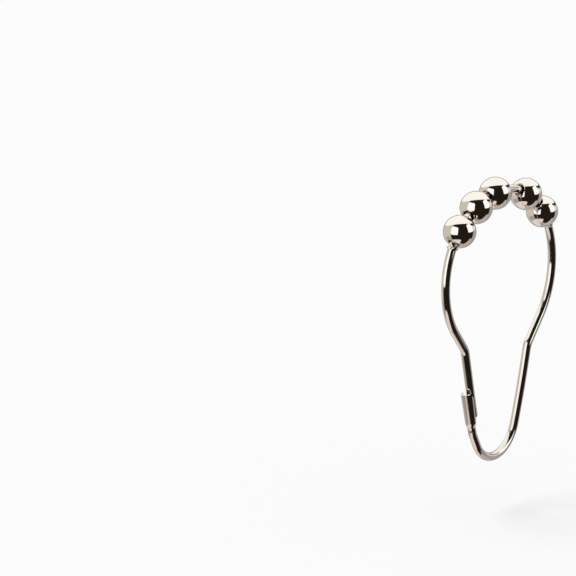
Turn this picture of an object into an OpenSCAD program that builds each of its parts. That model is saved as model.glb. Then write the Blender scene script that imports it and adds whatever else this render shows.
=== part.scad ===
// Shower curtain hook: one bent round wire with five loose balls that roll on the rod.
// The hook stands in the YZ plane and the rod runs along X. The catch side faces -Y.
// The origin lies on the crest of the rod, midway between the two shoulders of the arc.

/* [Wire] */
// thickness of the round wire
wire_d = 2.3; // [1.6:0.05:3.2]
// radius of the wire's line over the rod
arc_r = 27.5; // [20:0.1:36]
// degrees of that arc from its crest towards the catch side
front_arc = 39.6; // [30:0.1:50]
// degrees of that arc from its crest towards the back
back_arc = 41.3; // [30:0.1:50]

/* [Shoulders] */
// radius of the shoulder on the catch side
front_shoulder_r = 20.4; // [16:0.1:26]
// radius of the shoulder at the back
back_shoulder_r = 22.6; // [16:0.1:26]
// lean of the run below the front shoulder, from upright
front_slope = 41.2; // [25:0.2:50]
// lean of the run below the back shoulder, from upright
back_slope = 38.4; // [25:0.2:50]
// length of the front run
front_run = 6.3; // [3:0.1:10]
// length of the back run
back_run = 7.9; // [3:0.1:12]
// bend radius where each run turns into its leg
kink_r = 5; // [3:0.1:8]

/* [Legs] */
// lean of the front leg, from upright
front_lean = 15.5; // [8:0.1:20]
// length of the front leg down to its blunt end
front_leg = 18.9; // [14:0.1:24]
// lean of the back leg at its top, from upright
back_lean = 10.1; // [4:0.1:15]
// radius of the slight bow along the back leg
back_bow_r = 233; // [100:1:400]
// degrees turned by that bow
back_bow = 4.9; // [2:0.1:7]
// bend radius of the eye's bottom
eye_r = 9.9; // [7:0.1:12]
// lean of the riser below the catch, from upright
riser_lean = 30.8; // [18:0.2:34]

/* [Catch] */
// distance from the front leg's line to the trough's line
seat_gap = 1.45; // [1.3:0.05:2]
// length of the trough above its shoulder
trough_l = 10; // [6:0.1:12]
// part of the front leg that the trough covers
cover_l = 8; // [4:0.1:9]
// outer radius of the trough at its mouth
trough_r = 1.7; // [1.5:0.05:2.2]
// outer radius of the trough above its shoulder
trough_low_r = 1.5; // [1.3:0.05:2]
// thickness of the flattened wire in the trough
trough_wall = 0.5; // [0.35:0.05:0.6]
// height of the shoulder between the wire and the trough
shoulder_l = 1.6; // [1:0.1:2.5]
// how far the trough's lips pass its line
lip = 0.45; // [0.2:0.05:0.8]
// length of the slanting corner at the top of each lip
corner_l = 2.2; // [1:0.1:3]

/* [Balls] */
// diameter of a ball
ball_d = 8.7; // [7.5:0.05:9]
// length of a ball along its hole
ball_l = 7.9; // [7:0.05:8.2]
// diameter of the hole
hole_d = 3; // [2.9:0.05:3.2]
// radius of the rolled lip of the hole
hole_lip = 0.45; // [0.3:0.05:0.5]
// first ball's place on the catch side, along the wire from the crest
front_ball = 22; // [21:0.1:24]
// spacing of the three balls on the catch side
ball_pitch = 9.1; // [9.05:0.05:9.2]
// last ball's place at the back, along the wire from the crest
back_ball = 22; // [21:0.1:24]
// spacing of the two balls at the back
back_pitch = 10.45; // [9.1:0.05:13]

/* [Stops] */
// width over the two flat ears pinched out of the wire below an end ball
ear_w = 3.9; // [3.4:0.1:4.4]
// length of the ears along the wire
ear_l = 1.3; // [0.8:0.1:2]
// thickness of the ears
ear_t = 0.9; // [0.6:0.05:1.4]
// free play between an end ball and its ears
ear_gap = 0.35; // [0.3:0.05:0.8]

/* [Hidden] */
$fn = 96;
wire_r = wire_d / 2;
ball_r = ball_d / 2;
hair = 0.01;                             // how much thinner a lapping piece is
lap = 0.05;                              // how far it laps
crest = [0, ball_r];                     // wire's line above the rod's crest

// Points are [y, z]; a heading of 0 is +Y and 90 is up; a positive turn goes from +Y towards up.
function ahead(p, h, l) = [p[0] + l * cos(h), p[1] + l * sin(h)];
function pivot(p, h, r, a) = [p[0] - sign(a) * r * sin(h), p[1] + sign(a) * r * cos(h)];
function round_turn(p, h, r, a) = let (c = pivot(p, h, r, a), t = h - sign(a) * 90 + a) [c[0] + r * cos(t), c[1] + r * sin(t)];

// Front side, from the crest to the blunt end.
f_turn = 90 + front_slope - front_arc;
f1 = round_turn(crest, 180, arc_r, front_arc);
f1h = 180 + front_arc;
f2 = round_turn(f1, f1h, front_shoulder_r, f_turn);
f2h = f1h + f_turn;
f3 = ahead(f2, f2h, front_run);
f4 = round_turn(f3, f2h, kink_r, front_lean - front_slope);
f4h = f2h + front_lean - front_slope;
f5 = ahead(f4, f4h, front_leg);

// Back side, from the crest to the foot of the back leg.
b_turn = 90 + back_slope - back_arc;
b1 = round_turn(crest, 0, arc_r, -back_arc);
b1h = -back_arc;
b2 = round_turn(b1, b1h, back_shoulder_r, -b_turn);
b2h = b1h - b_turn;
b3 = ahead(b2, b2h, back_run);
b4 = round_turn(b3, b2h, kink_r, back_slope - back_lean);
b4h = b2h + back_slope - back_lean;
b5 = round_turn(b4, b4h, back_bow_r, -back_bow);
b5h = b4h - back_bow;

// Trough beside the front leg, its line parallel to the leg.
trough_h = f4h - 180;
mouth = ahead(ahead(f5, trough_h, cover_l), trough_h + 90, seat_gap);
foot = ahead(mouth, trough_h, -trough_l - shoulder_l);

// Bottom of the eye: the arc that joins the back leg's line to the riser's line.
riser_h = 90 + riser_lean;
knee = 6;                                // bend radius between the riser and the trough
knee_a = trough_h - riser_h;
r1 = round_turn(foot, trough_h + 180, knee, -knee_a);
eye_turn = b5h - riser_h + 360;
n1 = ahead([0, 0], b5h - 90, eye_r);
n2 = ahead([0, 0], riser_h - 90, eye_r);
d1 = [cos(b5h), sin(b5h)];
d2 = [-cos(riser_h), -sin(riser_h)];
gap = [r1[0] + n2[0] - b5[0] - n1[0], r1[1] + n2[1] - b5[1] - n1[1]];
det = -d1[0] * d2[1] + d2[0] * d1[1];
back_rest = (-gap[0] * d2[1] + d2[0] * gap[1]) / det;
riser_l = (d1[0] * gap[1] - d1[1] * gap[0]) / det;
b6 = ahead(b5, b5h, back_rest);
b7 = round_turn(b6, b5h, eye_r, -eye_turn);

// A place on the wire over the rod: s is measured along it from the crest, to the back if positive.
function top_l(s) = (s < 0 ? front_arc : back_arc) * PI * arc_r / 180;
function side_r(s) = s < 0 ? front_shoulder_r : back_shoulder_r;
function lean_at(s) = abs(s) <= top_l(s) ? abs(s) * 180 / (PI * arc_r)
                    : (s < 0 ? front_arc : back_arc) + (abs(s) - top_l(s)) * 180 / (PI * side_r(s));
function point_at(s) = abs(s) <= top_l(s)
    ? round_turn(crest, s < 0 ? 180 : 0, arc_r, -sign(s) * lean_at(s))
    : round_turn(s < 0 ? f1 : b1, s < 0 ? f1h : b1h, side_r(s), -sign(s) * (lean_at(s) - (s < 0 ? front_arc : back_arc)));
function head_at(s) = s < 0 ? 180 + lean_at(s) : -lean_at(s);
// inward shift that centres the bent wire in the straight hole
drop = pow(ball_l / 2, 2) / (4 * min(arc_r, front_shoulder_r, back_shoulder_r));
function ball_at(s) = ahead(point_at(s), head_at(s) + (s < 0 ? 90 : -90), drop);
ball_s = [-front_ball, -front_ball + ball_pitch, -front_ball + 2 * ball_pitch, back_ball - back_pitch, back_ball];
ear_s = [-front_ball - ball_l / 2 - ear_gap - ear_l / 2, back_ball + ball_l / 2 + ear_gap + ear_l / 2];

module in_plane(p, h) {
    rotate([90, 0, 90]) translate([p[0], p[1], 0]) rotate([0, 0, h]) children();
}
// A thin piece is a hair under the wire's size and laps a little into the pieces at its ends, so that all join cleanly.
module straight(p, h, l, thin = false, tip = false) {
    e = thin ? lap : 0;
    in_plane(p, h) translate([-e, 0, 0]) rotate([0, 90, 0])
        cylinder(h = l + e + (tip ? 0 : e), r = wire_r - (thin ? hair : 0));
}
module bend(p, h, r, a, thin = false) {
    e = thin ? lap * 180 / (PI * r) : 0;
    in_plane(pivot(p, h, r, a), h - sign(a) * 90 + min(a, 0) - e)
        rotate_extrude(angle = abs(a) + 2 * e) translate([r, 0]) circle(r = wire_r - (thin ? hair : 0));
}
module trough() {
    in_plane(foot, trough_h) difference() {
        union() {
            rotate([0, 90, 0]) cylinder(h = shoulder_l, r1 = wire_r, r2 = trough_low_r);
            translate([shoulder_l, 0, 0]) rotate([0, 90, 0]) cylinder(h = trough_l, r1 = trough_low_r, r2 = trough_r);
        }
        translate([shoulder_l + 0.5, 0, 0]) rotate([0, 90, 0])
            cylinder(h = trough_l, r1 = trough_low_r - trough_wall, r2 = trough_r - trough_wall + 0.02);
        translate([shoulder_l + 0.5, 0, 0]) sphere(r = trough_low_r - trough_wall);
        translate([shoulder_l * 0.6, -lip - 4, -4]) cube([trough_l + 3, 4, 8]);
        translate([shoulder_l + trough_l - corner_l, -lip, 0]) rotate([0, 0, atan2(0.95, corner_l)])
            translate([0, -6, -4]) cube([8, 6, 8]);
    }
}
module wire_hook() {
    color("silver") union() {
        bend(f1, 180 + front_arc, front_shoulder_r, f_turn);
        bend(f1, front_arc, arc_r, -front_arc - back_arc, thin = true);
        straight(f2, f2h, front_run, thin = true);
        bend(f3, f2h, kink_r, front_lean - front_slope);
        straight(f4, f4h, front_leg, thin = true, tip = true);
        bend(b1, b1h, back_shoulder_r, -b_turn);
        straight(b2, b2h, back_run, thin = true);
        bend(b3, b2h, kink_r, back_slope - back_lean);
        bend(b4, b4h, back_bow_r, -back_bow, thin = true);
        straight(b5, b5h, back_rest);
        bend(b6, b5h, eye_r, -eye_turn, thin = true);
        straight(b7, riser_h, riser_l);
        bend(r1, riser_h, knee, knee_a, thin = true);
        trough();
        for (s = ear_s)
            in_plane(point_at(s), head_at(s)) intersection() {
                rotate([90, 0, 0]) cylinder(h = ear_t, r = ear_w / 2, center = true);
                cube([ear_l, 4, 6], center = true);
            }
    }
}
module ball(i) {
    color("gainsboro") in_plane(ball_at(ball_s[i]), head_at(ball_s[i])) rotate([0, 90, 0]) rotate_extrude() difference() {
        intersection() {
            circle(r = ball_r);
            translate([hole_d / 2, -ball_l / 2]) square([ball_r, ball_l]);
        }
        for (e = [0, 1]) mirror([0, e]) translate([hole_d / 2, ball_l / 2]) difference() {
            translate([-1, -hole_lip]) square(1 + hole_lip);
            translate([hole_lip, -hole_lip]) circle(r = hole_lip);
        }
    }
}
module roller_ball_1() ball(0);
module roller_ball_2() ball(1);
module roller_ball_3() ball(2);
module roller_ball_4() ball(3);
module roller_ball_5() ball(4);

wire_hook();
roller_ball_1();
roller_ball_2();
roller_ball_3();
roller_ball_4();
roller_ball_5();
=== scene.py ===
"""Shower curtain hook in polished nickel: one bent wire, five loose balls and a plain studio."""
import math

import bmesh
import bpy
from bpy.props import FloatProperty, FloatVectorProperty, IntProperty, PointerProperty
from mathutils import Matrix, Vector


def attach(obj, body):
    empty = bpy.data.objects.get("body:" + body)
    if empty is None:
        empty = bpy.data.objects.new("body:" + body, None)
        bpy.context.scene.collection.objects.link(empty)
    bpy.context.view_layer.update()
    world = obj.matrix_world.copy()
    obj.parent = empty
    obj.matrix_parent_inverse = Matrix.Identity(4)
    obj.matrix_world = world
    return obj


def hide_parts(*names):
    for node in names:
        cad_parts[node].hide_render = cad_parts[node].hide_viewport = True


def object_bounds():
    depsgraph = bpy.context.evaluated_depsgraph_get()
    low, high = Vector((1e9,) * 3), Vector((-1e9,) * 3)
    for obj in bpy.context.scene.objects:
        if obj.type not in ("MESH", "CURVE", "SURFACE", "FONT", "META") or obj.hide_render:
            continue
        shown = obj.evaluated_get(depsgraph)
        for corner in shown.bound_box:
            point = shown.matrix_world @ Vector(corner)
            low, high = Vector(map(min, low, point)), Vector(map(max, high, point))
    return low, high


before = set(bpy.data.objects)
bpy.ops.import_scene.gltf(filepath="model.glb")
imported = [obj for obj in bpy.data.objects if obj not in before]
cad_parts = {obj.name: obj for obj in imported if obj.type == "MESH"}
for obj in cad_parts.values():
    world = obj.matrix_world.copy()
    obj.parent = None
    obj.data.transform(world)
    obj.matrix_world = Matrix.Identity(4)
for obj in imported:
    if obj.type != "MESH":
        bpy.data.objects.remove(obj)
CAD_BOX = [list(corner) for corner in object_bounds()]

bl_info = {
    "name": "Shower curtain hook",
    "version": (1, 0, 0),
    "blender": (4, 5, 0),
    "location": "3D View > Sidebar > Hook",
    "description": "Makes a bent wire curtain hook with roller balls, and a studio to see it in",
    "category": "Add Mesh",
}

MM = 0.001

# Bends and runs of the wire in mm and degrees, from the crest of its top arc.
FRONT_BENDS = {"arc": 39.6, "shoulder": 20.4, "slope": 41.2, "run": 6.3, "lean": 15.5, "leg": 18.9}
BACK_BENDS = {"arc": 41.3, "shoulder": 22.6, "slope": 38.4, "run": 7.9, "lean": 10.1}
ARC_RADIUS = 27.5
KINK_RADIUS = 5.0
BOW_RADIUS, BOW_TURN = 233.0, 4.9
EYE_RADIUS, RISER_LEAN, KNEE_RADIUS = 9.9, 30.8, 6.0

# Trough that the front leg springs into, in mm.
SEAT_GAP, TROUGH_LENGTH, COVERED, SHOULDER_LENGTH = 1.45, 10.0, 8.0, 1.6
TROUGH_LOW, TROUGH_MOUTH, TROUGH_WALL = 1.5, 1.7, 0.5
LIP, CORNER_LENGTH, CORNER_RISE = 0.5, 1.7, 0.8

# Balls along the wire, measured in mm from the crest, with the front side negative.
BALL_PLACES = (-22.0, -12.9, -3.8, 11.55, 22.0)
BALL_HALF_LENGTH, HOLE_RADIUS, HOLE_LIP = 3.95, 1.5, 0.45
EAR_LENGTH, EAR_GAP = 1.3, 0.35


def ahead(point, heading, length):
    """The point that lies length further on, in the hook's own plane."""
    turn = math.radians(heading)
    return Vector((point[0] + length * math.cos(turn), point[1] + length * math.sin(turn)))


def bend_centre(point, heading, radius, angle):
    """Centre of a bend that starts at point."""
    return ahead(point, heading + math.copysign(90, angle), radius)


def bend_end(point, heading, radius, angle):
    """Point where a bend ends."""
    side = math.copysign(90, angle)
    return ahead(bend_centre(point, heading, radius, angle), heading - side + angle, radius)


def traced(point, heading, pieces, step):
    """Points and headings along a chain of pieces, each ('run', length) or ('bend', radius, angle)."""
    path = [(Vector(point), heading)]
    for piece in pieces:
        start, facing = path[-1]
        length = piece[1] if piece[0] == "run" else piece[1] * math.radians(abs(piece[2]))
        count = max(2, math.ceil(length / step))
        for i in range(1, count + 1):
            part = i / count
            if piece[0] == "run":
                path.append((ahead(start, facing, length * part), facing))
            else:
                angle = piece[2] * part
                end = bend_end(start, facing, piece[1], angle) if angle else start
                path.append((end, facing + angle))
    return path


def wire_line(ball_radius, step):
    """The wire's line from the blunt end of the front leg to the foot of the trough, and the crest's place in it."""
    crest = Vector((0.0, ball_radius))
    f, b = FRONT_BENDS, BACK_BENDS
    front = traced(crest, 180.0, (
        ("bend", ARC_RADIUS, f["arc"]),
        ("bend", f["shoulder"], 90 + f["slope"] - f["arc"]),
        ("run", f["run"]),
        ("bend", KINK_RADIUS, f["lean"] - f["slope"]),
        ("run", f["leg"]),
    ), step)
    leg_end, leg_heading = front[-1]
    trough_heading = leg_heading - 180
    mouth = ahead(ahead(leg_end, trough_heading, COVERED), trough_heading + 90, SEAT_GAP)
    foot = ahead(mouth, trough_heading, -TROUGH_LENGTH - SHOULDER_LENGTH)
    back = traced(crest, 0.0, (
        ("bend", ARC_RADIUS, -b["arc"]),
        ("bend", b["shoulder"], -(90 + b["slope"] - b["arc"])),
        ("run", b["run"]),
        ("bend", KINK_RADIUS, b["slope"] - b["lean"]),
        ("bend", BOW_RADIUS, -BOW_TURN),
    ), step)
    low, low_heading = back[-1]
    riser = 90 + RISER_LEAN
    knee = trough_heading - riser
    riser_top = bend_end(foot, trough_heading + 180, KNEE_RADIUS, -knee)
    # The eye's bend touches both the back leg's line and the riser's line.
    side_low, side_up = ahead((0, 0), low_heading - 90, EYE_RADIUS), ahead((0, 0), riser - 90, EYE_RADIUS)
    down, up = ahead((0, 0), low_heading, 1), ahead((0, 0), riser + 180, 1)
    gap = riser_top + side_up - low - side_low
    det = down.y * up.x - down.x * up.y
    rest = (up.x * gap.y - gap.x * up.y) / det
    rise = (down.x * gap.y - down.y * gap.x) / det
    back += traced(low, low_heading, (
        ("run", rest),
        ("bend", EYE_RADIUS, riser - 360 - low_heading),
        ("run", rise),
        ("bend", KNEE_RADIUS, knee),
    ), step)[1:]
    forward = [(p, h + 180) for p, h in reversed(front)]
    return forward + back[1:], len(front) - 1, foot, trough_heading


def place_on_top(at, ball_radius):
    """Point and heading on the wire's top arc, at a distance from its crest."""
    bends = FRONT_BENDS if at < 0 else BACK_BENDS
    sign, start = (1, 180.0) if at < 0 else (-1, 0.0)
    arc_length = math.radians(bends["arc"]) * ARC_RADIUS
    crest = Vector((0.0, ball_radius))
    lean = math.degrees(min(abs(at), arc_length) / ARC_RADIUS)
    point = bend_end(crest, start, ARC_RADIUS, sign * lean) if lean else crest
    heading = start + sign * lean
    if abs(at) > arc_length:
        more = math.degrees((abs(at) - arc_length) / bends["shoulder"])
        point, heading = bend_end(point, heading, bends["shoulder"], sign * more), heading + sign * more
    return point, heading


def in_space(point):
    """A point of the hook's own plane in metres in space."""
    return Vector((0.0, point[0] * MM, point[1] * MM))


# Node helpers

def add_node(tree, kind, inputs=None, **settings):
    """Adds a node, sets it up and feeds its inputs from sockets or values."""
    made = tree.nodes.new(kind)
    made.location = (180 * (len(tree.nodes) % 12), -220 * (len(tree.nodes) // 12))
    for name, value in settings.items():
        setattr(made, name, value)
    for key, value in (inputs or {}).items():
        if isinstance(value, bpy.types.NodeSocket):
            tree.links.new(value, made.inputs[key])
        else:
            made.inputs[key].default_value = value
    return made


def calc(tree, operation, *values, clamp=False):
    """Output of a Math node."""
    return add_node(tree, "ShaderNodeMath", dict(enumerate(values)), operation=operation, use_clamp=clamp).outputs[0]


def vector_calc(tree, operation, *values):
    """Output of a Vector Math node; SCALE takes a vector and a number."""
    if operation == "SCALE":
        fed = {0: values[0], "Scale": values[1]}
    else:
        fed = dict(enumerate(values))
    return add_node(tree, "ShaderNodeVectorMath", fed, operation=operation).outputs[0]


def ramp(tree, value, low, high, to_low=0.0, to_high=1.0, kind="SMOOTHSTEP"):
    """Output of a Map Range node."""
    fed = {"Value": value, "From Min": low, "From Max": high, "To Min": to_low, "To Max": to_high}
    return add_node(tree, "ShaderNodeMapRange", fed, interpolation_type=kind).outputs[0]


def open_tree(name, inputs):
    """A new geometry tree with its named inputs, each (name, kind, default)."""
    tree = bpy.data.node_groups.new(name, "GeometryNodeTree")
    tree.interface.new_socket("Geometry", in_out="INPUT", socket_type="NodeSocketGeometry")
    for label, kind, default in inputs:
        made = tree.interface.new_socket(label, in_out="INPUT", socket_type=kind)
        if default is not None:
            made.default_value = default
    tree.interface.new_socket("Geometry", in_out="OUTPUT", socket_type="NodeSocketGeometry")
    return tree, add_node(tree, "NodeGroupInput").outputs


def close_tree(tree, mesh, material):
    """Ends a geometry tree in real triangles with their material."""
    real = add_node(tree, "GeometryNodeRealizeInstances", {"Geometry": mesh})
    shown = add_node(tree, "GeometryNodeSetMaterial", {"Geometry": real.outputs[0], "Material": material})
    add_node(tree, "NodeGroupOutput", {"Geometry": shown.outputs[0]})


def captured(tree, geometry, fields):
    """Captures named (kind, socket) fields on points and returns the geometry with the captured sockets."""
    keep = tree.nodes.new("GeometryNodeCaptureAttribute")
    keep.domain = "POINT"
    for name, (kind, _) in fields.items():
        keep.capture_items.new(kind, name)
    tree.links.new(geometry, keep.inputs[0])
    for i, (_, source) in enumerate(fields.values()):
        tree.links.new(source, keep.inputs[i + 1])
    return keep.outputs[0], [keep.outputs[i + 1] for i in range(len(fields))]


def swept(tree, path, sides, path_fields):
    """Sweeps a ring of points along a path, and gives the mesh, the path's captured fields and the angle round the ring."""
    curve = add_node(tree, "GeometryNodeMeshToCurve", {"Mesh": path}).outputs[0]
    curve, kept = captured(tree, curve, path_fields)
    circle = add_node(tree, "GeometryNodeCurvePrimitiveCircle", {"Resolution": sides, "Radius": MM}).outputs[0]
    part = add_node(tree, "GeometryNodeSplineParameter").outputs["Factor"]
    ring, (around,) = captured(tree, circle, {"Around": ("FLOAT", part)})
    tube = add_node(tree, "GeometryNodeCurveToMesh", {"Curve": curve, "Profile Curve": ring})
    return tube.outputs[0], kept, calc(tree, "MULTIPLY", around, math.tau)


def remembered(tree, mesh, name, value):
    """Stores a vector on each point under a name that a material reads."""
    fed = {"Geometry": mesh, "Name": name, "Value": value}
    return add_node(tree, "GeometryNodeStoreNamedAttribute", fed, data_type="FLOAT_VECTOR", domain="POINT").outputs[0]


def wire_tree():
    """Sweeps the wire along its path, rounds its blunt end and pinches the ears that hold the balls."""
    tree, given = open_tree("Bent wire", (
        ("Radius", "NodeSocketFloat", 1.15 * MM),
        ("Sides", "NodeSocketInt", 48),
        ("Front ear", "NodeSocketFloat", 0.0),
        ("Back ear", "NodeSocketFloat", 0.0),
        ("Ear length", "NodeSocketFloat", 1.3 * MM),
        ("Ear spread", "NodeSocketFloat", 1.48),
        ("Ear thinning", "NodeSocketFloat", 0.7),
        ("End rounding", "NodeSocketFloat", 0.3 * MM),
        ("Finish", "NodeSocketMaterial", None),
    ))
    place = add_node(tree, "GeometryNodeInputPosition").outputs[0]
    tangent = add_node(tree, "GeometryNodeInputTangent").outputs[0]
    along = add_node(tree, "GeometryNodeSplineParameter").outputs["Length"]
    tube, (centre, facing, length), angle = swept(tree, given["Geometry"], given["Sides"], {
        "Centre": ("VECTOR", place), "Facing": ("VECTOR", tangent), "Length": ("FLOAT", along),
    })
    pinch = 0.0
    for ear in ("Front ear", "Back ear"):
        off = calc(tree, "ABSOLUTE", calc(tree, "SUBTRACT", length, given[ear]))
        pinch = calc(tree, "MAXIMUM", ramp(tree, off, 0.0, given["Ear length"], 1.0, 0.0), pinch)
    short = calc(tree, "SUBTRACT", 1.0, calc(tree, "DIVIDE", length, given["End rounding"]), clamp=True)
    bulge = calc(tree, "SQRT", calc(tree, "SUBTRACT", 1.0, calc(tree, "MULTIPLY", short, short)))
    drawn_in = calc(tree, "MULTIPLY", given["End rounding"], calc(tree, "SUBTRACT", 1.0, bulge))
    radius = calc(tree, "SUBTRACT", given["Radius"], drawn_in)
    wide = calc(tree, "MULTIPLY", radius, calc(tree, "MULTIPLY_ADD", pinch, calc(tree, "SUBTRACT", given["Ear spread"], 1.0), 1.0))
    thin = calc(tree, "MULTIPLY", radius, calc(tree, "MULTIPLY_ADD", pinch, calc(tree, "SUBTRACT", given["Ear thinning"], 1.0), 1.0))
    outward = vector_calc(tree, "CROSS_PRODUCT", (1.0, 0.0, 0.0), facing)
    across = calc(tree, "MULTIPLY", wide, calc(tree, "SINE", angle))
    out = calc(tree, "MULTIPLY", thin, calc(tree, "COSINE", angle))
    offset = vector_calc(tree, "ADD", vector_calc(tree, "SCALE", (1.0, 0.0, 0.0), across), vector_calc(tree, "SCALE", outward, out))
    spot = vector_calc(tree, "ADD", centre, offset)
    shaped = add_node(tree, "GeometryNodeSetPosition", {"Geometry": tube, "Position": spot}).outputs[0]
    straight = add_node(tree, "ShaderNodeCombineXYZ", {0: across, 1: out, 2: length}).outputs[0]
    close_tree(tree, remembered(tree, shaped, "drawn", straight), given["Finish"])
    return tree


def ball_tree():
    """Turns a ball from its section, which is drawn with its distance from the axis as X and its height as Z."""
    tree, given = open_tree("Turned ball", (
        ("Segments", "NodeSocketInt", 96),
        ("Place", "NodeSocketVector", (0.0, 0.0, 0.0)),
        ("Axis", "NodeSocketVector", (0.0, 1.0, 0.0)),
        ("Finish", "NodeSocketMaterial", None),
    ))
    place = add_node(tree, "GeometryNodeInputPosition").outputs[0]
    turned, (section,), angle = swept(tree, given["Geometry"], given["Segments"], {"Section": ("VECTOR", place)})
    parts = add_node(tree, "ShaderNodeSeparateXYZ", {0: section}).outputs
    side = vector_calc(tree, "CROSS_PRODUCT", (1.0, 0.0, 0.0), given["Axis"])
    across = calc(tree, "MULTIPLY", parts["X"], calc(tree, "COSINE", angle))
    out = calc(tree, "MULTIPLY", parts["X"], calc(tree, "SINE", angle))
    spot = vector_calc(tree, "ADD", given["Place"], vector_calc(tree, "SCALE", given["Axis"], parts["Z"]))
    spot = vector_calc(tree, "ADD", spot, vector_calc(tree, "SCALE", (1.0, 0.0, 0.0), across))
    spot = vector_calc(tree, "ADD", spot, vector_calc(tree, "SCALE", side, out))
    shaped = add_node(tree, "GeometryNodeSetPosition", {"Geometry": turned, "Position": spot}).outputs[0]
    upright = add_node(tree, "ShaderNodeCombineXYZ", {0: across, 1: out, 2: parts["Z"]}).outputs[0]
    close_tree(tree, remembered(tree, shaped, "turned", upright), given["Finish"])
    return tree


def from_tree(name, tree, points, closed, values):
    """Runs a geometry tree on a line of points and gives the plain mesh it makes."""
    count = len(points)
    edges = [(i, i + 1) for i in range(count - 1)] + ([(count - 1, 0)] if closed else [])
    line = bpy.data.meshes.new(name + "_line")
    line.from_pydata(points, edges, [])
    source = bpy.data.objects.new(name + "_line", line)
    bpy.context.scene.collection.objects.link(source)
    modifier = source.modifiers.new(tree.name, "NODES")
    modifier.node_group = tree
    sockets = {s.name: s.identifier for s in tree.interface.items_tree if s.in_out == "INPUT"}
    for label, value in values.items():
        modifier[sockets[label]] = value
    bpy.context.view_layer.update()
    graph = bpy.context.evaluated_depsgraph_get()
    mesh = bpy.data.meshes.new_from_object(source.evaluated_get(graph), preserve_all_data_layers=True, depsgraph=graph)
    mesh.name = name
    source.modifiers.remove(modifier)
    bpy.data.objects.remove(source)
    bpy.data.meshes.remove(line)
    return mesh


def placed(name, mesh, body, node):
    """Puts a finished mesh in the scene as a piece of the hook, in the stead of a solid."""
    piece = bpy.data.objects.new(name, mesh)
    bpy.context.scene.collection.objects.link(piece)
    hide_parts(node)
    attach(piece, body)
    return piece


def finish_mesh(mesh, sharp):
    """Smooths a mesh and keeps the edges that turn by more than sharp degrees."""
    mesh.polygons.foreach_set("use_smooth", [True] * len(mesh.polygons))
    mesh.set_sharp_from_angle(angle=math.radians(sharp))
    mesh.update()


def trough_section(at, radius, sides):
    """Points round the wire at a place in the trough, as (towards the leg, across), from the round foot to the open mouth."""
    length = SHOULDER_LENGTH + TROUGH_LENGTH
    if at < SHOULDER_LENGTH:
        outer = radius + (TROUGH_LOW - radius) * at / SHOULDER_LENGTH
    else:
        outer = TROUGH_LOW + (TROUGH_MOUTH - TROUGH_LOW) * (at - SHOULDER_LENGTH) / TROUGH_LENGTH
    inner = outer - TROUGH_WALL
    lip = LIP - CORNER_RISE * max(0.0, at - length + CORNER_LENGTH) / CORNER_LENGTH
    outer_lip, inner_lip = math.acos(lip / outer), math.acos(lip / inner)
    share = min(1.0, max(0.0, (at - 0.5) / 2.2))
    share = share * share * (3 - 2 * share)
    half = sides // 2
    wall, rim = (half - 4) // 2, 4
    mid_lip = Vector((lip, (outer * math.sin(outer_lip) + inner * math.sin(inner_lip)) / 2))
    rim_half = (outer * math.sin(outer_lip) - inner * math.sin(inner_lip)) / 2
    side = []
    for k in range(half + 1):
        if k <= wall:
            turn = math.pi + (inner_lip - math.pi) * k / wall
            spot = Vector((inner * math.cos(turn), inner * math.sin(turn)))
        elif k < wall + rim:
            turn = math.pi * (k - wall) / rim
            spot = mid_lip + Vector((0.4 * rim_half * math.sin(turn), -rim_half * math.cos(turn)))
        else:
            turn = outer_lip + (math.pi - outer_lip) * (k - wall - rim) / (half - wall - rim)
            spot = Vector((outer * math.cos(turn), outer * math.sin(turn)))
        round_turn = math.pi * k / half
        plain = Vector((math.cos(round_turn), math.sin(round_turn))) * radius
        side.append(plain.lerp(spot, share))
    return side + [Vector((p.x, -p.y)) for p in reversed(side[1:-1])]


def add_trough(mesh, foot, heading, radius, sides, start_length):
    """Welds the trough to the wire's foot, closes both ends and leaves the wire's lengthwise coordinates on it."""
    shape = bmesh.new()
    shape.from_mesh(mesh)
    drawn = shape.verts.layers.float_vector["drawn"]
    towards_leg = ahead((0, 0), heading - 90, 1)
    length = SHOULDER_LENGTH + TROUGH_LENGTH
    count = round(length / 0.2)
    last = None
    for i in range(count + 1):
        at = length * i / count
        centre = ahead(foot, heading, at)
        ring = []
        for spot in trough_section(at, radius / MM, sides):
            vert = shape.verts.new(in_space(centre + towards_leg * spot.x) + Vector((spot.y * MM, 0, 0)))
            vert[drawn] = Vector((spot.y * MM, spot.x * MM, start_length + at * MM))
            ring.append(vert)
        if last:
            for k in range(sides):
                shape.faces.new((last[k], last[k - 1], ring[k - 1], ring[k]))
        last = ring
    bmesh.ops.remove_doubles(shape, verts=shape.verts, dist=0.002 * MM)
    bmesh.ops.holes_fill(shape, edges=[e for e in shape.edges if e.is_boundary], sides=0)
    bmesh.ops.recalc_face_normals(shape, faces=shape.faces)
    shape.to_mesh(mesh)
    shape.free()


# Finishes

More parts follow.
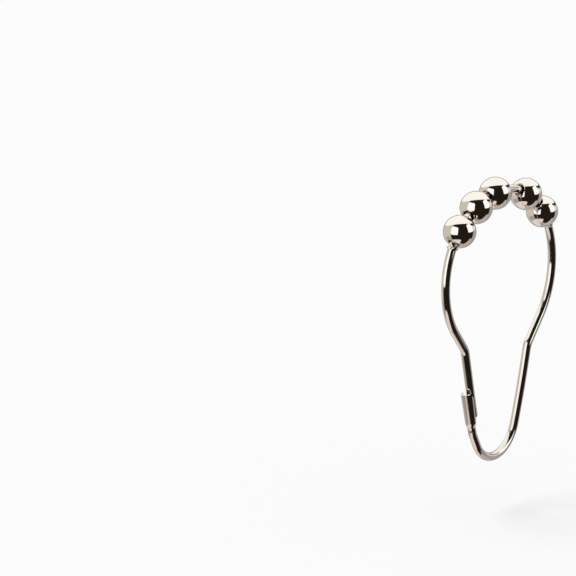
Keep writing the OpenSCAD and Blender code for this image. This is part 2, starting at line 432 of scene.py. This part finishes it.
def marks_group():
    """Faint polishing marks and handling smudges, as roughness to add, a height and a tint."""
    group = bpy.data.node_groups.new("Polishing marks", "ShaderNodeTree")
    for label, kind, default in (
        ("Coordinates", "NodeSocketVector", (0.0, 0.0, 0.0)),
        ("Stretch", "NodeSocketVector", (1.0, 1.0, 1.0)),
        ("Line scale", "NodeSocketFloat", 6000.0),
        ("Smudge scale", "NodeSocketFloat", 260.0),
        ("Line depth", "NodeSocketFloat", 0.5),
    ):
        made = group.interface.new_socket(label, in_out="INPUT", socket_type=kind)
        made.default_value = default
    for label in ("Roughness", "Height", "Tint"):
        group.interface.new_socket(label, in_out="OUTPUT", socket_type="NodeSocketFloat")
    given = add_node(group, "NodeGroupInput").outputs
    stretched = vector_calc(group, "MULTIPLY", given["Coordinates"], given["Stretch"])
    lines = add_node(group, "ShaderNodeTexNoise", {"Vector": stretched, "Scale": given["Line scale"], "Detail": 3.0}).outputs[0]
    smudge = add_node(group, "ShaderNodeTexNoise", {"Vector": given["Coordinates"], "Scale": given["Smudge scale"], "Detail": 4.0, "Roughness": 0.6}).outputs[0]
    handled = ramp(group, smudge, 0.45, 0.75)
    scored = ramp(group, lines, 0.56, 0.74)
    rough = calc(group, "ADD", calc(group, "MULTIPLY", handled, 0.05), calc(group, "MULTIPLY", scored, 0.06))
    fed = {
        "Roughness": rough,
        "Height": calc(group, "MULTIPLY", lines, given["Line depth"]),
        "Tint": calc(group, "SUBTRACT", 1.0, calc(group, "MULTIPLY", handled, 0.05)),
    }
    add_node(group, "NodeGroupOutput", fed)
    return group


def polished_metal(name, group, attribute, colour, shade, roughness, stretch):
    """Polished nickel whose marks follow the way the piece was drawn or turned."""
    material = bpy.data.materials.new(name)
    material.use_nodes = True
    tree = material.node_tree
    tree.nodes.clear()
    made_along = add_node(tree, "ShaderNodeAttribute", attribute_name=attribute).outputs["Vector"]
    marks = add_node(tree, "ShaderNodeGroup", node_tree=group)
    tree.links.new(made_along, marks.inputs["Coordinates"])
    marks.inputs["Stretch"].default_value = stretch
    plain = calc(tree, "ADD", marks.outputs["Roughness"], roughness)
    toned = add_node(tree, "ShaderNodeMix", {"Factor": marks.outputs["Tint"]}, data_type="RGBA")
    toned.inputs[6].default_value = (*shade, 1.0)
    toned.inputs[7].default_value = (*colour, 1.0)
    bump = add_node(tree, "ShaderNodeBump", {"Strength": 0.02, "Distance": 0.00002, "Height": marks.outputs["Height"]})
    shader = add_node(tree, "ShaderNodeBsdfPrincipled", {
        "Base Color": toned.outputs[2], "Metallic": 1.0, "Roughness": plain, "Normal": bump.outputs[0],
    })
    add_node(tree, "ShaderNodeOutputMaterial", {"Surface": shader.outputs[0]})
    return material


class HookSizes(bpy.types.PropertyGroup):
    """Sizes of the wire and its balls."""
    wire_radius: FloatProperty(name="Wire radius", description="Radius of the round wire", default=1.15 * MM, unit="LENGTH", precision=5)
    wire_sides: IntProperty(name="Wire sides", description="Points round the wire", default=48, min=16, max=96)
    wire_step: FloatProperty(name="Step", description="Distance between rings along the wire, in mm", default=0.16, min=0.1, max=1.0)
    end_rounding: FloatProperty(name="End rounding", description="Radius at the rim of the blunt end", default=0.3 * MM, unit="LENGTH", precision=5)
    ear_spread: FloatProperty(name="Ear spread", description="Width of a pinched ear against the wire", default=1.5, min=1.0, max=2.0)
    ear_thinning: FloatProperty(name="Ear thinning", description="Thickness of a pinched ear against the wire", default=0.94, min=0.3, max=1.0)
    ball_radius: FloatProperty(name="Ball radius", description="Radius of a ball", default=4.35 * MM, unit="LENGTH", precision=5)
    ball_segments: IntProperty(name="Ball segments", description="Faces round a ball", default=128, min=24, max=192)


class HookFinish(bpy.types.PropertyGroup):
    """Colours and polish."""
    wire_colour: FloatVectorProperty(name="Wire", description="Colour of the wire's nickel", subtype="COLOR", size=3, default=(0.80, 0.74, 0.68), min=0.0, max=1.0)
    ball_colour: FloatVectorProperty(name="Balls", description="Colour of the balls' nickel", subtype="COLOR", size=3, default=(0.84, 0.79, 0.73), min=0.0, max=1.0)
    tarnish: FloatVectorProperty(name="Handled", description="Colour where hands have dulled it", subtype="COLOR", size=3, default=(0.66, 0.58, 0.50), min=0.0, max=1.0)
    roughness: FloatProperty(name="Roughness", description="Roughness of the clean polish", default=0.035, min=0.0, max=0.5)


class HookStudio(bpy.types.PropertyGroup):
    """The floor and the light."""
    floor_drop: FloatProperty(name="Floor below", description="Distance from the hook's lowest point to the floor", default=14 * MM, unit="LENGTH", precision=4)
    floor_colour: FloatVectorProperty(name="Floor", description="Colour of the floor", subtype="COLOR", size=3, default=(0.95, 0.95, 0.95), min=0.0, max=1.0)
    facing: FloatProperty(name="Facing", description="Way the studio's front faces, round from the hook's front", default=math.radians(33.3), subtype="ANGLE")
    plain_light: FloatProperty(name="Plain light", description="Level of the light from all round", default=0.78, min=0.0, max=2.0)
    lamp_light: FloatProperty(name="Lamp", description="Level of the lamp that casts the floor's shadow", default=0.28, min=0.0, max=2.0)
    window_light: FloatProperty(name="Windows", description="Level of the light panels that the metal mirrors", default=1.35, min=0.0, max=4.0)
    ceiling_colour: FloatVectorProperty(name="Ceiling", description="Colour of the pale cloth overhead", subtype="COLOR", size=3, default=(1.14, 1.14, 1.12), min=0.0, max=2.0)
    wall_colour: FloatVectorProperty(name="Left wall", description="Colour of the wall on the left", subtype="COLOR", size=3, default=(0.68, 0.64, 0.58), min=0.0, max=1.0)
    screen_colour: FloatVectorProperty(name="Right screen", description="Colour of the screen on the right", subtype="COLOR", size=3, default=(0.84, 0.82, 0.82), min=0.0, max=1.0)
    ground_colour: FloatVectorProperty(name="Ground", description="Colour of the ground as the metal mirrors it", subtype="COLOR", size=3, default=(0.88, 0.77, 0.76), min=0.0, max=1.0)
    room_colour: FloatVectorProperty(name="Dark room", description="Colour of the dark side of the room", subtype="COLOR", size=3, default=(0.018, 0.013, 0.009), min=0.0, max=1.0)


class CURTAINHOOK_OT_set_camera(bpy.types.Operator):
    """Sets the camera where the hook is seen from the front and its right"""
    bl_idname = "curtain_hook.set_camera"
    bl_label = "Set camera"

    def execute(self, context):
        lens_mm = 2246.0 / 576 * 36
        data = bpy.data.cameras.new("camera")
        data.sensor_width, data.lens = 36.0, lens_mm
        data.clip_start, data.clip_end = 0.01, 50.0
        camera = bpy.data.objects.new("camera", data)
        context.scene.collection.objects.link(camera)
        right, up = Vector((0.775862, 0.630528, 0.021726)), Vector((-0.157090, 0.159718, 0.974583))
        back = right.cross(up).normalized()
        up = back.cross(right).normalized()
        turned = Matrix((right.normalized(), up, back)).transposed().to_4x4()
        camera.matrix_world = Matrix.Translation(Vector((0.32304, -0.49147, 0.11028))) @ turned
        context.scene.camera = camera
        return {"FINISHED"}


class CURTAINHOOK_OT_bend_wire(bpy.types.Operator):
    """Bends the wire, pinches its ears and forms the trough at its foot"""
    bl_idname = "curtain_hook.bend_wire"
    bl_label = "Bend wire"

    def execute(self, context):
        size, finish = context.scene.hook_sizes, context.scene.hook_finish
        metal = polished_metal("drawn_nickel", bpy.data.node_groups["Polishing marks"], "drawn", finish.wire_colour, finish.tarnish, finish.roughness, (1.0, 1.0, 0.02))
        line, crest, foot, heading = wire_line(size.ball_radius / MM, size.wire_step)
        blunt = [ahead(line[0][0], line[0][1], 0.05 * i * size.end_rounding / (0.3 * MM)) for i in range(7)]
        points = [in_space(p) for p in blunt] + [in_space(p) for p, _ in line[2:]]
        lengths = [0.0]
        for a, b in zip(points, points[1:]):
            lengths.append(lengths[-1] + (b - a).length)
        crest_length = lengths[crest + len(blunt) - 2]
        reach = BALL_HALF_LENGTH + EAR_GAP + EAR_LENGTH / 2
        mesh = from_tree("sprung_wire", wire_tree(), points, False, {
            "Radius": size.wire_radius, "Sides": size.wire_sides,
            "Front ear": crest_length + (BALL_PLACES[0] - reach) * MM,
            "Back ear": crest_length + (BALL_PLACES[-1] + reach) * MM,
            "Ear length": EAR_LENGTH / 2 * MM, "Ear spread": size.ear_spread, "Ear thinning": size.ear_thinning,
            "End rounding": size.end_rounding, "Finish": metal,
        })
        add_trough(mesh, foot, heading, size.wire_radius, size.wire_sides, lengths[-1])
        finish_mesh(mesh, 50)
        placed("sprung_wire", mesh, "hook", "wire_hook")
        return {"FINISHED"}


class CURTAINHOOK_OT_turn_balls(bpy.types.Operator):
    """Turns the five bored balls and threads each at its place on the wire"""
    bl_idname = "curtain_hook.turn_balls"
    bl_label = "Turn balls"

    def section(self, radius):
        """Half section of a bored ball in mm: its round outside, the rolled lips and the bore."""
        lip = Vector((HOLE_RADIUS + HOLE_LIP, BALL_HALF_LENGTH - HOLE_LIP))
        reach = lip.length
        apart = math.acos((radius ** 2 - reach ** 2 - HOLE_LIP ** 2) / (2 * reach * HOLE_LIP))
        crown = math.atan2(lip.y, lip.x) + apart
        edge = lip + HOLE_LIP * Vector((math.cos(crown), math.sin(crown)))
        limit = math.atan2(edge.y, edge.x)
        outside = [Vector((math.cos(a), math.sin(a))) * radius for a in (-limit + 2 * limit * i / 72 for i in range(73))]
        rolled = [lip + HOLE_LIP * Vector((math.cos(a), math.sin(a))) for a in (crown + (math.pi - crown) * i / 8 for i in range(1, 9))]
        bore = [Vector((HOLE_RADIUS, lip.y * (1 - i / 5))) for i in range(1, 10)]
        return outside + rolled + bore + [Vector((p.x, -p.y)) for p in reversed(rolled)]

    def execute(self, context):
        size, finish = context.scene.hook_sizes, context.scene.hook_finish
        metal = polished_metal("turned_nickel", bpy.data.node_groups["Polishing marks"], "turned", finish.ball_colour, finish.tarnish, finish.roughness * 0.8, (0.12, 0.12, 1.0))
        tree = ball_tree()
        radius = size.ball_radius / MM
        sag = BALL_HALF_LENGTH ** 2 / (4 * min(ARC_RADIUS, FRONT_BENDS["shoulder"], BACK_BENDS["shoulder"]))
        section = [(p.x * MM, 0.0, p.y * MM) for p in self.section(radius)]
        for i, at in enumerate(BALL_PLACES):
            point, heading = place_on_top(at, radius)
            centre = ahead(point, heading + (90 if at < 0 else -90), sag)
            axis = ahead((0, 0), heading, 1)
            mesh = from_tree(f"bored_ball_{i + 1}", tree, section, True, {
                "Segments": size.ball_segments, "Place": in_space(centre), "Axis": Vector((0, axis.x, axis.y)), "Finish": metal,
            })
            shape = bmesh.new()
            shape.from_mesh(mesh)
            bmesh.ops.recalc_face_normals(shape, faces=shape.faces)
            shape.to_mesh(mesh)
            shape.free()
            finish_mesh(mesh, 35)
            placed(f"bored_ball_{i + 1}", mesh, f"ball_{i + 1}", f"roller_ball_{i + 1}")
        return {"FINISHED"}


class CURTAINHOOK_OT_light_studio(bpy.types.Operator):
    """Lays the pale floor and sets the soft lights round the hook"""
    bl_idname = "curtain_hook.light_studio"
    bl_label = "Light studio"

    def floor(self, context, studio):
        """A plain pale floor, which keeps the hook's shadow and isn't mirrored."""
        level = CAD_BOX[0][2] - studio.floor_drop
        mesh = bpy.data.meshes.new("floor")
        mesh.from_pydata([(-4, -4, level), (4, -4, level), (4, 4, level), (-4, 4, level)], [], [(0, 1, 2, 3)])
        floor = bpy.data.objects.new("floor", mesh)
        context.scene.collection.objects.link(floor)
        floor.visible_glossy = False
        material = bpy.data.materials.new("pale_floor")
        material.use_nodes = True
        shader = material.node_tree.nodes["Principled BSDF"]
        shader.inputs["Base Color"].default_value = (*studio.floor_colour, 1.0)
        shader.inputs["Roughness"].default_value = 1.0
        shader.inputs["Specular IOR Level"].default_value = 0.0
        mesh.materials.append(material)

    def lamp(self, context, studio):
        """One soft lamp high on the left, which gives the floor its shadow."""
        data = bpy.data.lights.new("soft_lamp", "SUN")
        data.energy, data.angle = studio.lamp_light * math.pi, math.radians(30)
        lamp = bpy.data.objects.new("soft_lamp", data)
        lamp.matrix_world = Vector((-0.45, -0.35, 1.0)).to_track_quat("Z", "Y").to_matrix().to_4x4()
        context.scene.collection.objects.link(lamp)
        lamp.visible_glossy = lamp.visible_camera = False

    def around(self, context, studio):
        """White for the eye, plain light for the floor, and for the metal a dark room with panels round it."""
        world = bpy.data.worlds.new("studio")
        world.use_nodes = True
        world.cycles.sampling_method = "NONE"
        context.scene.world = world
        tree = world.node_tree
        tree.nodes.clear()
        towards = add_node(tree, "ShaderNodeTexCoord").outputs["Generated"]
        turned = add_node(tree, "ShaderNodeVectorRotate", {"Vector": towards, "Angle": -studio.facing}, rotation_type="Z_AXIS").outputs[0]
        parts = add_node(tree, "ShaderNodeSeparateXYZ", {0: turned}).outputs
        turn = calc(tree, "DEGREES", calc(tree, "ARCTAN2", parts["X"], calc(tree, "MULTIPLY", parts["Y"], -1.0)))
        rise = calc(tree, "DEGREES", calc(tree, "ARCSINE", parts["Z"]))

        def panel(left, right, low, high, soft=2.5, corner=6.0):
            """Mask of a panel with rounded corners, from its edges in degrees round and up."""
            wide, tall = (right - left) / 2, (high - low) / 2
            apart = calc(tree, "WRAP", calc(tree, "SUBTRACT", turn, (left + right) / 2), 180.0, -180.0)
            share = calc(tree, "POWER", calc(tree, "DIVIDE", calc(tree, "ABSOLUTE", apart), wide), corner)
            above = calc(tree, "ABSOLUTE", calc(tree, "SUBTRACT", rise, (low + high) / 2))
            share = calc(tree, "ADD", share, calc(tree, "POWER", calc(tree, "DIVIDE", above, tall), corner))
            edge = soft / min(wide, tall)
            return ramp(tree, calc(tree, "POWER", share, 1 / corner), 1 - edge, 1 + edge, 1.0, 0.0)

        def toned(below, mask, colour):
            mix = add_node(tree, "ShaderNodeMix", {"Factor": mask}, data_type="RGBA")
            for index, shade in ((6, below), (7, colour)):
                if isinstance(shade, bpy.types.NodeSocket):
                    tree.links.new(shade, mix.inputs[index])
                else:
                    mix.inputs[index].default_value = (*shade, 1.0)
            return mix.outputs[2]

        high, back = math.radians(59), math.radians(-165)
        crown = (math.sin(back) * math.cos(high), -math.cos(back) * math.cos(high), math.sin(high))
        dot = add_node(tree, "ShaderNodeVectorMath", {0: turned, 1: crown}, operation="DOT_PRODUCT").outputs["Value"]
        from_crown = calc(tree, "DEGREES", calc(tree, "ARCCOSINE", dot))
        window = tuple([studio.window_light] * 3)
        dim_wall = tuple(0.62 * c for c in studio.wall_colour)
        dim_screen = tuple(0.5 * c for c in studio.screen_colour)
        low_screen = (0.55, 0.50, 0.46)
        dim_ground = tuple(0.45 * c for c in studio.ground_colour)
        forward = (0.0, math.cos(math.radians(10.6)), -math.sin(math.radians(10.6)))
        dot = add_node(tree, "ShaderNodeVectorMath", {0: turned, 1: forward}, operation="DOT_PRODUCT").outputs["Value"]
        from_back = calc(tree, "DEGREES", calc(tree, "ARCCOSINE", dot))
        seen = toned(studio.room_colour, ramp(tree, rise, -78.0, -71.0, 1.0, 0.0), dim_ground)
        seen = toned(seen, panel(-70, 16, -76, -45, 2), studio.ground_colour)
        seen = toned(seen, panel(-181, -60, -100, -44, 4), studio.ground_colour)
        seen = toned(seen, panel(-160, -63, -48, 64), studio.wall_colour)
        seen = toned(seen, panel(-125, -63, -48, -27, 4), dim_wall)
        screen = calc(tree, "MULTIPLY", panel(103, 183, 0, 70), ramp(tree, from_crown, 63.0, 67.0))
        seen = toned(seen, panel(88, 187, -86, -31, 2, 10.0), low_screen)
        seen = toned(seen, panel(107, 183, -45, 8), dim_screen)
        seen = toned(seen, screen, studio.screen_colour)
        seen = toned(seen, panel(-63, -11, -13, 38), window)
        seen = toned(seen, panel(63, 107, 1, 46), window)
        seen = toned(seen, ramp(tree, from_crown, 54.0, 57.0, 1.0, 0.0), studio.ceiling_colour)
        seen = toned(seen, ramp(tree, from_back, 26.0, 40.0, 1.0, 0.0), (0.36, 0.34, 0.32))
        plain = add_node(tree, "ShaderNodeBackground", {"Color": (1.0, 1.0, 1.0, 1.0), "Strength": studio.plain_light})
        white = add_node(tree, "ShaderNodeBackground", {"Color": (1.0, 1.0, 1.0, 1.0), "Strength": 1.0})
        mirrored = add_node(tree, "ShaderNodeBackground", {"Color": seen})
        ray = add_node(tree, "ShaderNodeLightPath").outputs
        for_eye = add_node(tree, "ShaderNodeMixShader", {0: ray["Is Camera Ray"], 1: plain.outputs[0], 2: white.outputs[0]})
        for_metal = add_node(tree, "ShaderNodeMixShader", {0: ray["Is Glossy Ray"], 1: for_eye.outputs[0], 2: mirrored.outputs[0]})
        add_node(tree, "ShaderNodeOutputWorld", {"Surface": for_metal.outputs[0]})

    def execute(self, context):
        studio = context.scene.hook_studio
        self.floor(context, studio)
        self.lamp(context, studio)
        self.around(context, studio)
        context.scene.view_settings.view_transform = "Standard"
        return {"FINISHED"}


class CURTAINHOOK_PT_hook(bpy.types.Panel):
    """Buttons and sizes for the hook"""
    bl_idname = "CURTAINHOOK_PT_hook"
    bl_label = "Curtain hook"
    bl_space_type = "VIEW_3D"
    bl_region_type = "UI"
    bl_category = "Hook"

    def draw(self, context):
        for group in (context.scene.hook_sizes, context.scene.hook_finish, context.scene.hook_studio):
            box = self.layout.box()
            for name in group.bl_rna.properties.keys():
                if name not in ("rna_type", "name"):
                    box.prop(group, name)
        for step in STEPS:
            self.layout.operator(step.bl_idname)


GROUPS = {"hook_sizes": HookSizes, "hook_finish": HookFinish, "hook_studio": HookStudio}
STEPS = (CURTAINHOOK_OT_set_camera, CURTAINHOOK_OT_bend_wire, CURTAINHOOK_OT_turn_balls, CURTAINHOOK_OT_light_studio)


def register():
    for item in (*GROUPS.values(), *STEPS, CURTAINHOOK_PT_hook):
        bpy.utils.register_class(item)
    for name, group in GROUPS.items():
        setattr(bpy.types.Scene, name, PointerProperty(type=group))


def unregister():
    for name in GROUPS:
        delattr(bpy.types.Scene, name)
    for item in (CURTAINHOOK_PT_hook, *reversed(STEPS), *reversed(list(GROUPS.values()))):
        bpy.utils.unregister_class(item)


def main():
    register()
    marks_group()
    bpy.ops.curtain_hook.set_camera()
    bpy.ops.curtain_hook.bend_wire()
    bpy.ops.curtain_hook.turn_balls()
    bpy.ops.curtain_hook.light_studio()


if __name__ == "__main__":
    main()
